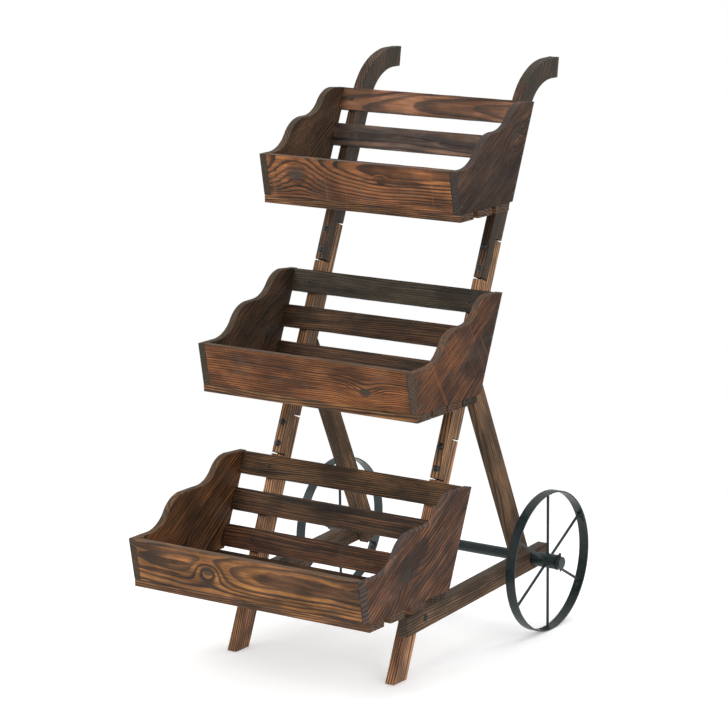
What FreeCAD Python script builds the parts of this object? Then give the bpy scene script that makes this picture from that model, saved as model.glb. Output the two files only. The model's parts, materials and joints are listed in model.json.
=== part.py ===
import FreeCAD, Part
import itertools
import math
import os
import Sketcher

# Three-tier flower cart stand: scrolled wooden planter boxes on two leaning rails, with a wheeled rear axle.
# Millimetres. +X is the stand's right, +Y its rear (wheels and handles), +Z up. The stand rests on Z = 0,
# and the origin is the middle of its footprint. Everything is worked out from the rails' front foot edge, and
# the placement of every piece then carries it back or forward by "shift".

Vector = FreeCAD.Vector

DRIVING = (
    ("lean_angle", 23.0, "lean of the rails from upright, degrees"),
    ("rail_spread", 433.0, "distance over the rails' outer faces"),
    ("rail_wide", 23.0, "width of the frame stock"),
    ("rail_deep", 44.0, "depth of the frame stock"),
    ("edge_round", 1.2, "rounding of the sawn edges"),
    ("lower_lap_rise", 3.0, "from the bottom box's back corner up to the lower splice, along the rail"),
    ("upper_lap_rise", 23.1, "from the middle box's back corner up to the upper splice, along the rail"),
    ("lap_long", 91.0, "length of a half lap"),
    ("lap_gap", 2.0, "gap left at each shoulder of a half lap"),
    ("bolt_pitch", 47.0, "distance between the two bolts of a splice"),
    ("handle_rise", -8.9, "from the top box's back corner up to the handle's bend, along the rail"),
    ("handle_bend", 140.0, "outer radius of the handle's bend"),
    ("handle_run", 24.0, "straight end of the handle, along its lower edge"),
    ("handle_rake", 7.0, "how much further the handle's top edge runs"),
    ("first_level", 198.0, "height of the bottom box's side panels above the floor"),
    ("tier_step", 380.0, "height from one box to the next"),
    ("low_wide", 600.0, "width of the bottom box"),
    ("mid_wide", 547.0, "width of the middle box"),
    ("top_wide", 501.0, "width of the top box"),
    ("low_floor", 288.0, "length of the bottom box's side panel along its base"),
    ("mid_floor", 235.0, "length of the middle box's side panel along its base"),
    ("top_floor", 201.0, "length of the top box's side panel along its base"),
    ("low_lead", 58.0, "level run behind the bottom box's front edge"),
    ("mid_lead", 53.0, "level run behind the middle box's front edge"),
    ("top_lead", 32.0, "level run behind the top box's front edge"),
    ("panel_thick", 17.0, "thickness of the side panels"),
    ("panel_back", 202.0, "height of the side panels at their back edge"),
    ("panel_crest", 206.0, "height of the side panels at their crest"),
    ("panel_shoulder", 155.0, "height of the side panels' middle shoulder"),
    ("panel_front", 92.0, "height of the front board and the panels' front edge"),
    ("front_flare", 16.0, "how far the front board's top leans outward"),
    ("first_run", 116.0, "length of the lower scroll"),
    ("second_run", 100.0, "length of the upper scroll"),
    ("low_crest_run", 60.0, "length of the slope behind the bottom box's crest"),
    ("mid_crest_run", 46.0, "length of the slope behind the middle box's crest"),
    ("top_crest_run", 42.0, "length of the slope behind the top box's crest"),
    ("front_thick", 15.0, "thickness of the front boards"),
    ("slat_thick", 12.0, "thickness of the back slats"),
    ("slat_wide", 50.0, "width of the back slats"),
    ("slat_gap", 31.0, "gap between back slats"),
    ("slat_lift", 4.0, "rise of the lowest back slat above the panels' base"),
    ("floor_thick", 16.0, "thickness of the floor slats"),
    ("floor_wide", 52.0, "width of the floor slats"),
    ("beam_level", 123.2, "height of the beams' centre line above the rails' front foot edge"),
    ("beam_slope", 3.12, "rise of the beams to the rear, degrees"),
    ("beam_front", 18.0, "front end of the beams, behind the rails' front foot edge"),
    ("beam_long", 551.0, "length of the beams"),
    ("beam_bolt_back", 8.0, "how far behind the rail's centre line the beam's bolt sits"),
    ("leg_top_rise", 27.0, "from the middle box's base up to the middle of the rear legs' top ends"),
    ("leg_tail", 24.0, "length of the rear legs below the axle"),
    ("axle_back", 509.0, "distance of the axle behind the rails' front foot edge"),
    ("axle_radius", 12.0, "outer radius of the axle tube"),
    ("axle_wall", 2.0, "wall of the axle tube"),
    ("axle_end", 8.7, "length of the axle tube beyond each washer"),
    ("wheel_radius", 155.0, "outer radius of the wheels, and height of the axle"),
    ("spacer_long", 13.2, "length of the spacers between the beams and the hubs"),
    ("rim_wide", 22.0, "width of the rims"),
    ("rim_thick", 3.0, "thickness of the rims"),
    ("hub_radius", 16.0, "outer radius of the hubs"),
    ("hub_long", 48.0, "length of the hubs"),
    ("running_gap", 0.08, "radial clearance of a hub on the axle"),
    ("side_gap", 0.3, "end clearance of a hub"),
    ("spoke_radius", 3.0, "radius of the spokes"),
    ("spoke_count", 6, "number of spokes in a wheel"),
    ("low_floor_count", 4, "number of floor slats in the bottom box"),
    ("mid_floor_count", 4, "number of floor slats in the middle box"),
    ("top_floor_count", 3, "number of floor slats in the top box"),
    ("foot_long", 26.0, "length of the flattened end of a spoke along the rim"),
    ("foot_wide", 11.0, "width of the flattened end of a spoke"),
    ("foot_thick", 2.0, "thickness of the flattened end of a spoke"),
    ("rivet_radius", 2.2, "radius of the rivets through the rim"),
    ("rivet_head", 3.8, "radius of the rivets' heads"),
    ("washer_thick", 2.0, "thickness of the axle washers"),
    ("washer_radius", 17.0, "radius of the axle washers"),
    ("cap_radius", 13.3, "outer radius of the axle caps"),
    ("cap_end", 1.5, "thickness of the axle caps' end"),
    ("cap_gap", 0.1, "gap between an axle cap and its washer"),
    ("pin_radius", 1.5, "radius of the cotter pins"),
    ("pin_long", 36.0, "length of the cotter pins' legs"),
    ("bolt_radius", 3.0, "radius of the frame bolts"),
    ("bolt_slack", 0.25, "radial clearance of a frame bolt in its hole"),
    ("bolt_head", 6.0, "radius of a frame bolt's head"),
    ("bolt_head_high", 3.2, "height of a frame bolt's head"),
    ("bolt_tail", 3.0, "length of a frame bolt beyond its nut"),
    ("nut_radius", 5.8, "radius over the corners of a nut"),
    ("nut_high", 4.6, "height of a nut"),
    ("ring_radius", 7.6, "radius of a frame washer"),
    ("ring_thick", 1.4, "thickness of a frame washer"),
    ("screw_radius", 2.0, "radius of the wood screws"),
    ("screw_head", 4.2, "radius of the wood screws' heads"),
    ("screw_head_high", 2.2, "height of the wood screws' heads"),
    ("panel_head_high", 0.9, "how far the panel screws' heads stand out"),
    ("screw_long", 38.0, "length of the wood screws"),
    ("nail_radius", 1.1, "radius of the nails"),
    ("nail_head", 2.4, "radius of the nails' heads"),
    ("nail_head_high", 0.8, "height of the nails' heads"),
    ("nail_long", 32.0, "length of the nails"),
)

# Formulas over the driving sizes. "along" is measured up the rails from their front foot edge.
WORKED = (
    ("rail_out", "sizes.rail_spread / 2"),
    ("rail_in", "rail_out - sizes.rail_wide"),
    ("rail_mid", "rail_out - sizes.rail_wide / 2"),
    ("beam_out", "rail_out + sizes.rail_wide"),
    ("lean_sine", "sin(sizes.lean_angle * 1 deg)"),
    ("lean_cosine", "cos(sizes.lean_angle * 1 deg)"),
    ("lean_slope", "tan(sizes.lean_angle * 1 deg)"),
    ("floor_back_gap", "sizes.slat_thick / lean_cosine"),
    ("low_level", "sizes.first_level"),
    ("mid_level", "sizes.first_level + sizes.tier_step"),
    ("top_level", "sizes.first_level + 2 * sizes.tier_step"),
    ("lower_lap", "(low_level + sizes.panel_back) / lean_cosine + sizes.lower_lap_rise + sizes.lap_long / 2"),
    ("upper_lap", "(mid_level + sizes.panel_back) / lean_cosine + sizes.upper_lap_rise + sizes.lap_long / 2"),
    ("handle_start", "(top_level + sizes.panel_back) / lean_cosine + sizes.handle_rise"),
    ("front_reach", "low_level * lean_slope - sizes.low_floor - sizes.front_flare"),
    ("rear_reach", "sizes.axle_back + sizes.wheel_radius"),
    ("shift", "-(front_reach + rear_reach) / 2"),
    ("leg_top", "mid_level + sizes.leg_top_rise"),
    ("leg_top_back", "leg_top * lean_slope + sizes.rail_deep / lean_cosine"),
    ("leg_angle", "atan((sizes.axle_back - leg_top_back) / (leg_top - sizes.wheel_radius)) / 1 deg"),
    ("leg_long", "sqrt((sizes.axle_back - leg_top_back) ^ 2 + (leg_top - sizes.wheel_radius) ^ 2)"),
    ("leg_cut", "1 / tan((leg_angle + sizes.lean_angle) * 1 deg)"),
    ("hub_in", "beam_out + sizes.spacer_long + sizes.side_gap"),
    ("wheel_mid", "hub_in + sizes.hub_long / 2"),
    ("hub_out", "hub_in + sizes.hub_long"),
    ("washer_in", "hub_out + sizes.side_gap"),
    ("washer_out", "washer_in + sizes.washer_thick"),
    ("axle_half", "washer_out + sizes.axle_end"),
    ("pin_place", "washer_out + sizes.axle_end / 2"),
    ("rim_inside", "sizes.wheel_radius - sizes.rim_thick"),
    ("rivet_turn", "(sizes.foot_long - sizes.spoke_radius) / 2 / rim_inside * 180 / pi"),
)

TIERS = ("low", "mid", "top")
TIER_WORDS = {"low": "bottom", "mid": "middle", "top": "top"}
BACK_SLATS = ("top", "middle", "bottom")
SIDES = (("left", -1), ("right", 1))
SHARP_TURN = 20.0   # degrees between two faces, above which their edge is rounded

doc = FreeCAD.newDocument("flower_cart_stand")
nodes = []


def new_sheet(name):
    return doc.addObject("Spreadsheet::Sheet", name)


sizes = new_sheet("sizes")
for row, (alias, amount, note) in enumerate(DRIVING, start=1):
    sizes.set(f"A{row}", note)
    sizes.set(f"B{row}", str(amount))
    sizes.setAlias(f"B{row}", alias)
worked = new_sheet("worked")
for row, (alias, formula) in enumerate(WORKED, start=1):
    worked.set(f"B{row}", "=" + formula)
    worked.setAlias(f"B{row}", alias)
bench = new_sheet("bench")
doc.recompute()


def number(expression):
    """The present value of an expression over the sheets."""
    bench.set("A1", "=" + expression)
    bench.recompute()
    return float(bench.get("A1"))


def size(alias):
    return float(sizes.get(alias))


def found(alias):
    return float(worked.get(alias))


# ---------------------------------------------------------------- sketches and bodies

def new_body(label):
    body = doc.addObject("PartDesign::Body", label)
    body.Label = label
    return body


def new_sketch(body, role):
    sketch = body.newObject("Sketcher::SketchObject", body.Name + "_sketch")
    plane = next(item for item in body.Origin.OriginFeatures if item.Role == role)
    sketch.AttachmentSupport = (plane, [""])
    sketch.MapMode = "FlatFace"
    return sketch


def hold(sketch, kind, geometry, end, expression):
    """Bind one coordinate of a point to an expression."""
    index = sketch.addConstraint(Sketcher.Constraint(kind, -1, 1, geometry, end, number(expression)))
    sketch.setExpression(f"Constraints[{index}]", expression)


def arc_between(start, finish, radius, side):
    """The arc from start to finish that bulges to the left (side 1) or to the right (side -1)."""
    chord = finish - start
    reach = math.sqrt(radius ** 2 - (chord.Length / 2) ** 2)
    across = Vector(chord.y, -chord.x, 0).normalize() * side
    centre = start + chord / 2 + across * reach
    first, last = (finish, start) if side > 0 else (start, finish)
    angles = [math.atan2(point.y - centre.y, point.x - centre.x) for point in (first, last)]
    return Part.ArcOfCircle(Part.Circle(centre, Vector(0, 0, 1), radius), *angles)


def outline(sketch, corners):
    """A closed outline. A corner is (across, up), or (across, up, radius, side) where an arc leaves it."""
    places = [Vector(number(corner[0]), number(corner[1]), 0) for corner in corners]
    edges = []
    for order, corner in enumerate(corners):
        start, finish = places[order], places[(order + 1) % len(corners)]
        if len(corner) == 2:
            edges.append((sketch.addGeometry(Part.LineSegment(start, finish)), 1, 2))
            continue
        radius, side = corner[2:]
        index = sketch.addGeometry(arc_between(start, finish, number(radius), side))
        edges.append((index, 2, 1) if side > 0 else (index, 1, 2))
        bound = sketch.addConstraint(Sketcher.Constraint("Radius", index, number(radius)))
        sketch.setExpression(f"Constraints[{bound}]", radius)
    for order, corner in enumerate(corners):
        index, begin, _ = edges[order]
        before, _, end = edges[order - 1]
        sketch.addConstraint(Sketcher.Constraint("Coincident", before, end, index, begin))
        hold(sketch, "DistanceX", index, begin, corner[0])
        hold(sketch, "DistanceY", index, begin, corner[1])


def circle(sketch, across, up, radius):
    middle = Vector(number(across), number(up), 0)
    index = sketch.addGeometry(Part.Circle(middle, Vector(0, 0, 1), number(radius)))
    hold(sketch, "DistanceX", index, 3, across)
    hold(sketch, "DistanceY", index, 3, up)
    bound = sketch.addConstraint(Sketcher.Constraint("Radius", index, number(radius)))
    sketch.setExpression(f"Constraints[{bound}]", radius)


def pad(body, sketch, length):
    feature = body.newObject("PartDesign::Pad", body.Name + "_pad")
    feature.Profile = sketch
    feature.setExpression("Length", length)
    doc.recompute()
    return feature


def drill(body, role, circles, reverse):
    """Cut round holes right through a body, and make sure that wood was removed."""
    before = body.Shape.Volume
    sketch = new_sketch(body, role)
    for spot in circles:
        circle(sketch, *spot)
    feature = body.newObject("PartDesign::Pocket", body.Name + "_holes")
    feature.Profile = sketch
    feature.Type = "ThroughAll"
    feature.Reversed = reverse
    doc.recompute()
    if body.Shape.Volume >= before:
        raise ValueError(f"the holes of {body.Label} cut nothing")


def is_sharp(shape, edge):
    """True where the two faces at an edge meet at an angle."""
    middle = edge.valueAt((edge.FirstParameter + edge.LastParameter) / 2)
    normals = []
    for face in shape.ancestorsOfType(edge, Part.Face):
        normals.append(face.normalAt(*face.Surface.parameter(middle)))
    return len(normals) == 2 and math.degrees(normals[0].getAngle(normals[1])) > SHARP_TURN


def ease(body, feature):
    """Round the sharp edges of a sawn piece."""
    shape = feature.Shape
    names = [f"Edge{order}" for order, edge in enumerate(shape.Edges, start=1) if is_sharp(shape, edge)]
    rounding = body.newObject("PartDesign::Fillet", body.Name + "_edges")
    rounding.Base = (feature, names)
    rounding.setExpression("Radius", "sizes.edge_round")
    doc.recompute()


def place(piece, x="0", y="worked.shift", z="0", turn="0"):
    """Set a piece at a point, tipped about X by a number of degrees."""
    spot = f"vector({x}; {y}; {z})"
    piece.setExpression("Placement", f"placement({spot}; rotation(vector(1; 0; 0); ({turn}) * 1 deg))")


def keep(piece):
    """Count a document object as a finished piece."""
    nodes.append(piece)
    return piece


def board(label, role, corners, length, **where):
    """A sawn board: an outline padded to a length, its edges rounded, set in place."""
    body = new_body(label)
    sketch = new_sketch(body, role)
    outline(sketch, corners)
    ease(body, pad(body, sketch, length))
    place(body, **where)
    return keep(body)


def oblong(low_across, low_up, high_across, high_up):
    return [(low_across, low_up), (high_across, low_up), (high_across, high_up), (low_across, high_up)]


def side_start(sign):
    """Where a frame piece that stands in line with the rails starts along X."""
    return "worked.rail_in" if sign > 0 else "-worked.rail_out"


def on_rail(sign):
    """Placement of a piece that is drawn in a rail's own frame, up the rail and back from its front face."""
    return {"x": side_start(sign), "turn": "-sizes.lean_angle"}


# ---------------------------------------------------------------- rails, legs and beams

HALF_DEEP = "sizes.rail_deep / 2"
BOLT_HOLE = "sizes.bolt_radius + sizes.bolt_slack"


def lap_spots(lap):
    """The low and high shoulders of a half lap, as (below, above) pairs either side of their gap."""
    spots = []
    for sign in "-+":
        shoulder = f"worked.{lap} {sign} sizes.lap_long / 2"
        spots.append((f"{shoulder} - sizes.lap_gap / 2", f"{shoulder} + sizes.lap_gap / 2"))
    return spots


def lap_bolts(lap):
    return [f"worked.{lap} {sign} sizes.bolt_pitch / 2" for sign in "-+"]


def rail_piece(label, sign, corners, bolt_places):
    body = board(label, "YZ_Plane", corners, "sizes.rail_wide", **on_rail(sign))
    drill(body, "XZ_Plane", [("sizes.rail_wide / 2", spot, BOLT_HOLE) for spot in bolt_places], False)


def tongue_up(lap):
    """The top end of a piece whose rear half runs on past its front shoulder."""
    (low, _), (high, _) = lap_spots(lap)
    return [("sizes.rail_deep", high), (HALF_DEEP, high), (HALF_DEEP, low), ("0", low)]


def tongue_down(lap):
    """The bottom end of a piece whose front half runs on past its rear shoulder."""
    (_, low), (_, high) = lap_spots(lap)
    return [("0", low), (HALF_DEEP, low), (HALF_DEEP, high), ("sizes.rail_deep", high)]


def handle_end():
    """The curved top of a rail, from its rear face round the bend to its front face."""
    inner = "(sizes.handle_bend - sizes.rail_deep)"
    across = "(sizes.handle_bend - {r} * worked.lean_sine + {run} * worked.lean_cosine)"
    up = "(worked.handle_start + {r} * worked.lean_cosine + {run} * worked.lean_sine)"
    spots = []
    for radius, run in ((inner, "0"), (inner, "sizes.handle_run"),
                        ("sizes.handle_bend", "(sizes.handle_run + sizes.handle_rake)"),
                        ("sizes.handle_bend", "0")):
        spots.append((across.format(r=radius, run=run), up.format(r=radius, run=run)))
    return [("sizes.rail_deep", "worked.handle_start", inner, 1), spots[0], spots[1], spots[2],
            (*spots[3], "sizes.handle_bend", -1), ("0", "worked.handle_start")]


def make_rail(word, sign):
    foot = [("0", "0"), ("sizes.rail_deep", "sizes.rail_deep * worked.lean_slope")]
    rail_piece(f"rail_foot_{word}", sign, foot + tongue_up("lower_lap"), lap_bolts("lower_lap"))
    rail_piece(f"rail_middle_{word}", sign, tongue_down("lower_lap") + tongue_up("upper_lap"),
               lap_bolts("lower_lap") + lap_bolts("upper_lap"))
    rail_piece(f"rail_handle_{word}", sign, tongue_down("upper_lap") + handle_end(), lap_bolts("upper_lap"))


def make_leg(word, sign):
    """A rear leg: its top end lies on the rail's rear face, and the axle passes through it near its tail.
    Drawn down from the middle of its top end, with Y to the rear of the leg."""
    half = HALF_DEEP
    corners = [(f"-{half}", f"-{half} * worked.leg_cut"), (f"-{half}", "-(worked.leg_long + sizes.leg_tail)"),
               (half, "-(worked.leg_long + sizes.leg_tail)"), (half, f"{half} * worked.leg_cut")]
    leg_back = "worked.shift + worked.leg_top_back"
    body = board(f"rear_leg_{word}", "YZ_Plane", corners, "sizes.rail_wide",
                 x=side_start(sign), y=leg_back, z="worked.leg_top", turn="worked.leg_angle")
    drill(body, "YZ_Plane", [("0", "-worked.leg_long", "sizes.axle_radius")], True)


def beam_place(sign):
    start = "worked.rail_out" if sign > 0 else "-worked.beam_out"
    return {"x": start, "z": "sizes.beam_level", "turn": "sizes.beam_slope"}


BEAM_SINE = "sin(sizes.beam_slope * 1 deg)"
BEAM_COSINE = "cos(sizes.beam_slope * 1 deg)"
AXLE_RISE = "(sizes.wheel_radius - sizes.beam_level)"
# where the rail's centre line crosses the beams' centre line, behind the foot edge and above the floor
CROSS_BACK = ("((sizes.beam_level * worked.lean_slope + sizes.rail_deep / 2 / worked.lean_cosine)"
              " / (1 - worked.lean_slope * tan(sizes.beam_slope * 1 deg)))")
BEAM_BOLT_BACK = f"({CROSS_BACK} + sizes.beam_bolt_back)"
BEAM_BOLT_UP = f"(sizes.beam_level + {BEAM_BOLT_BACK} * tan(sizes.beam_slope * 1 deg))"


def make_beam(word, sign):
    """A lower beam, bolted to the rail's outer face and carried by the axle at its rear."""
    low, high = "-sizes.rail_deep / 2", "sizes.rail_deep / 2"
    corners = oblong("sizes.beam_front", low, "sizes.beam_front + sizes.beam_long", high)
    body = board(f"lower_beam_{word}", "YZ_Plane", corners, "sizes.rail_wide", **beam_place(sign))
    axle_along = f"sizes.axle_back * {BEAM_COSINE} + {AXLE_RISE} * {BEAM_SINE}"
    axle_up = f"{AXLE_RISE} * {BEAM_COSINE} - sizes.axle_back * {BEAM_SINE}"
    bolt_along = f"{BEAM_BOLT_BACK} / {BEAM_COSINE}"
    drill(body, "YZ_Plane", [(axle_along, axle_up, "sizes.axle_radius"), (bolt_along, "0", BOLT_HOLE)], True)


def drill_rail_feet():
    """The holes of the beam bolts through the rails' foot pieces."""
    across = f"{BEAM_BOLT_BACK} * worked.lean_cosine - {BEAM_BOLT_UP} * worked.lean_sine"
    along = f"{BEAM_BOLT_BACK} * worked.lean_sine + {BEAM_BOLT_UP} * worked.lean_cosine"
    for word, _ in SIDES:
        drill(doc.getObject(f"rail_foot_{word}"), "YZ_Plane", [(across, along, BOLT_HOLE)], True)


# ---------------------------------------------------------------- planter boxes

def box_place(tier):
    """A box is drawn from the point of the rails' front plane at the level of its panels' base."""
    level = f"worked.{tier}_level"
    return {"y": f"worked.shift + {level} * worked.lean_slope", "z": level}


def scroll_radius(run, rise):
    """Radius of the two equal arcs that climb a rise over a run and end level."""
    return f"(({run}) / 2 / sin(2 * atan(({rise}) / ({run}))))"


def front_foot(tier):
    """Where a box's front starts at its base, ahead of the rails' front plane."""
    return f"(-sizes.{tier}_floor)"


def front_tip(tier):
    return f"({front_foot(tier)} - sizes.front_flare)"


def side_corners(tier):
    """The scrolled outline of a side panel, from its back lower corner forward."""
    front, tip, lean = front_foot(tier), front_tip(tier), "sizes.panel_back * worked.lean_slope"
    lead = f"({tip} + sizes.{tier}_lead)"
    crest = f"({lean} - sizes.{tier}_crest_run)"
    shoulder_rise = "sizes.panel_shoulder - sizes.panel_front"
    crest_rise = "sizes.panel_crest - sizes.panel_shoulder"
    low_radius = scroll_radius("sizes.first_run", shoulder_rise)
    high_radius = scroll_radius("sizes.second_run", crest_rise)
    return [
        ("0", "0"),
        (lean, "sizes.panel_back"),
        (crest, "sizes.panel_crest", high_radius, -1),
        (f"{crest} - sizes.second_run / 2", "(sizes.panel_crest + sizes.panel_shoulder) / 2", high_radius, 1),
        (f"{crest} - sizes.second_run", "sizes.panel_shoulder"),
        (f"{lead} + sizes.first_run", "sizes.panel_shoulder", low_radius, -1),
        (f"{lead} + sizes.first_run / 2", "(sizes.panel_shoulder + sizes.panel_front) / 2", low_radius, 1),
        (lead, "sizes.panel_front"),
        (tip, "sizes.panel_front"),
        (front, "0"),
    ]


def front_corners(tier):
    """The slanted section of a front board, flush with the panels' front edges."""
    front, tip = front_foot(tier), front_tip(tier)
    return [(front, "0"), (f"{front} + sizes.front_thick", "0"),
            (f"{tip} + sizes.front_thick", "sizes.panel_front"), (tip, "sizes.panel_front")]


def floor_count(tier):
    return int(size(f"{tier}_floor_count"))


def back_slat_low(tier, order):
    """Lower edge of a back slat along the rail, the topmost slat being order 0."""
    steps = len(BACK_SLATS) - 1 - order
    return (f"(worked.{tier}_level / worked.lean_cosine + sizes.slat_lift"
            f" + {steps} * (sizes.slat_wide + sizes.slat_gap))")


def floor_slat_front(tier, order):
    """Front edge of a floor slat, the front one being order 0."""
    spread = f"(sizes.{tier}_floor - worked.floor_back_gap - sizes.floor_wide)"
    return f"({front_foot(tier)} + {order} * {spread} / (sizes.{tier}_floor_count - 1))"


def make_box(tier):
    word, wide = TIER_WORDS[tier], f"sizes.{tier}_wide"
    corners = side_corners(tier)
    inside, within = f"{wide} - 2 * sizes.panel_thick", f"-{wide} / 2 + sizes.panel_thick"
    for side, sign in SIDES:
        start = f"{wide} / 2 - sizes.panel_thick" if sign > 0 else f"-{wide} / 2"
        board(f"{word}_box_side_{side}", "YZ_Plane", corners, "sizes.panel_thick", x=start, **box_place(tier))
    board(f"{word}_box_front", "YZ_Plane", front_corners(tier), inside, x=within, **box_place(tier))
    for order, name in enumerate(BACK_SLATS):
        low = back_slat_low(tier, order)
        corners = oblong("-sizes.slat_thick", low, "0", f"{low} + sizes.slat_wide")
        board(f"{word}_box_back_{name}", "YZ_Plane", corners, inside, x=within, turn="-sizes.lean_angle")
    for order in range(floor_count(tier)):
        front = floor_slat_front(tier, order)
        corners = oblong(front, "-sizes.floor_thick", f"{front} + sizes.floor_wide", "0")
        board(f"{word}_box_floor_{order + 1}", "YZ_Plane", corners, wide, x=f"-{wide} / 2", **box_place(tier))


# ---------------------------------------------------------------- axle and wheels

def turned(label, corners):
    """A piece turned about the axle: (along X, radius) corners, revolved."""
    body = new_body(label)
    sketch = new_sketch(body, "XY_Plane")
    outline(sketch, corners)
    feature = body.newObject("PartDesign::Revolution", body.Name + "_turn")
    feature.Profile = sketch
    feature.ReferenceAxis = (next(item for item in body.Origin.OriginFeatures if item.Role == "X_Axis"), [""])
    doc.recompute()
    place(body, y="worked.shift + sizes.axle_back", z="sizes.wheel_radius")
    return body


def ring(label, sign, inner_end, outer_end, bore, radius):
    """A turned ring between two distances from the stand's middle, on one side of it."""
    flip = "" if sign > 0 else "-"
    ends = [f"{flip}({inner_end})", f"{flip}({outer_end})"]
    low, high = ends if sign > 0 else ends[::-1]
    return turned(label, oblong(low, bore, high, radius))


def pair(label, pieces):
    """Two like pieces, one each side, as one node of separate solids."""
    both = doc.addObject("Part::Compound", label)
    both.Label = label
    both.Links = pieces
    return keep(both)


def make_axle():
    bore = "sizes.axle_radius - sizes.axle_wall"
    axle = turned("axle_tube", oblong("-worked.axle_half", bore, "worked.axle_half", "sizes.axle_radius"))
    pin_hole = [("worked.pin_place", "0", "sizes.pin_radius"), ("-worked.pin_place", "0", "sizes.pin_radius")]
    for reverse in (False, True):
        drill(axle, "XY_Plane", pin_hole, reverse)
    keep(axle)
    spacers, washers, caps = [], [], []
    for word, sign in SIDES:
        spacers.append(ring(f"spacer_{word}", sign, "worked.beam_out", "worked.hub_in - sizes.side_gap",
                            "sizes.axle_radius", "sizes.hub_radius - sizes.axle_wall"))
        washers.append(ring(f"washer_{word}", sign, "worked.washer_in", "worked.washer_out",
                            "sizes.axle_radius", "sizes.washer_radius"))
        caps.append(make_cap(word, sign))
    pair("axle_spacers", spacers)
    pair("axle_washers", washers)
    pair("axle_caps", caps)


def make_cap(word, sign):
    """A cap that closes the end of the axle tube, crossed by the cotter pin."""
    flip = "" if sign > 0 else "-"
    mouth = f"{flip}(worked.washer_out + sizes.cap_gap)"
    seat, end = f"{flip}worked.axle_half", f"{flip}(worked.axle_half + sizes.cap_end)"
    corners = [(mouth, "sizes.axle_radius"), (seat, "sizes.axle_radius"), (seat, "0"), (end, "0"),
               (end, "sizes.cap_radius"), (mouth, "sizes.cap_radius")]
    cap = turned(f"cap_{word}", corners)
    for reverse in (False, True):
        drill(cap, "XY_Plane", [(f"{flip}worked.pin_place", "0", "sizes.pin_radius")], reverse)
    return cap


def make_wheel(word, sign):
    half, flip = "sizes.rim_wide / 2", "" if sign > 0 else "-"
    rim = ring(f"wheel_rim_{word}", sign, f"worked.wheel_mid - {half}", f"worked.wheel_mid + {half}",
               "worked.rim_inside", "sizes.wheel_radius")
    drill(rim, "XY_Plane", [(f"{flip}worked.wheel_mid", "0", "sizes.rivet_radius")], True)
    holes = rim.newObject("PartDesign::PolarPattern", rim.Name + "_rivet_holes")
    holes.Originals = [rim.Tip]
    holes.Axis = (next(item for item in rim.Origin.OriginFeatures if item.Role == "X_Axis"), [""])
    holes.Angle = 360
    holes.setExpression("Occurrences", "sizes.spoke_count")
    rim.Tip = holes
    place(rim, y="worked.shift + sizes.axle_back", z="sizes.wheel_radius", turn="-worked.rivet_turn")
    keep(rim)
    keep(ring(f"wheel_hub_{word}", sign, "worked.hub_in", "worked.hub_out",
              "sizes.axle_radius + sizes.running_gap", "sizes.hub_radius"))


# ---------------------------------------------------------------- repeated metal pieces

def group(label, solids):
    """Like pieces that share a node, as separate solids."""
    feature = doc.addObject("Part::Feature", label)
    feature.Label = label
    feature.Shape = Part.makeCompound(solids)
    return keep(feature)


def wheel_centre(sign):
    return Vector(sign * found("wheel_mid"), found("shift") + size("axle_back"), size("wheel_radius"))


def spoke(centre):
    """An upright spoke: a rod coped to the hub, with a flattened foot that lies along the rim."""
    across = Vector(1, 0, 0)
    inside, hub = found("rim_inside"), size("hub_radius")
    foot_top = inside - size("foot_thick")
    rod_end = inside - size("foot_thick") / 2
    rod = Part.makeCylinder(size("spoke_radius"), rod_end, centre, Vector(0, 0, 1))
    rod = rod.cut(Part.makeCylinder(hub, size("hub_long"), centre - across * size("hub_long") / 2, across))
    wide, offset = size("foot_wide"), size("spoke_radius")
    band_start = centre - across * wide / 2
    band = Part.makeCylinder(inside, wide, band_start, across)
    band = band.cut(Part.makeCylinder(foot_top, wide, band_start, across))
    slot = Part.makeBox(wide, size("foot_long"), inside, centre + Vector(-wide / 2, -offset, 0))
    foot = band.common(slot)
    hole = Part.makeCylinder(size("rivet_radius"), inside, centre, rivet_way())
    return rod.fuse(foot.cut(hole))


def rivet_way():
    """From the wheel's centre to the rivet beside its upright spoke."""
    turn = math.radians(found("rivet_turn"))
    return Vector(0, math.sin(turn), math.cos(turn))


def rivet(centre):
    """A rivet through a spoke's foot and the rim, its head inside the rim."""
    way = rivet_way()
    seat = found("rim_inside") - size("foot_thick")
    inner_end = seat - size("rivet_radius") / 2
    shank = Part.makeCylinder(size("rivet_radius"), size("wheel_radius") - inner_end,
                              centre + way * inner_end, way)
    shank = shank.common(Part.makeCylinder(size("wheel_radius"), size("rim_wide"),
                                           centre - Vector(size("rim_wide") / 2, 0, 0), Vector(1, 0, 0)))
    dome = Part.makeSphere(size("rivet_head"), centre + way * seat, -way, 0, 90, 360)
    within = Part.makeCylinder(seat, size("rim_wide"), centre - Vector(size("rim_wide") / 2, 0, 0),
                               Vector(1, 0, 0))
    return shank.fuse(dome.common(within))


def around(shape, centre, count):
    turns = []
    for order in range(count):
        copy = shape.copy()
        copy.rotate(centre, Vector(1, 0, 0), order * 360.0 / count)
        turns.append(copy)
    return turns


def make_spokes(word, sign):
    centre, count = wheel_centre(sign), int(size("spoke_count"))
    group(f"wheel_spokes_{word}", around(spoke(centre), centre, count))
    group(f"wheel_rivets_{word}", around(rivet(centre), centre, count))


def rod_with_head(start, way, length, radius, head_radius, head_high):
    """A fastener whose domed head stands on the surface at start, its shank running along way."""
    way = Vector(way).normalize()
    shank = Part.makeCylinder(radius, length, start, way)
    ball = (head_radius ** 2 + head_high ** 2) / (2 * head_high)
    inset = ball - head_high
    latitude = math.degrees(math.asin(inset / ball))
    dome = Part.makeSphere(ball, start + way * inset, -way, latitude, 90, 360)
    return shank.fuse(dome)


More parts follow.
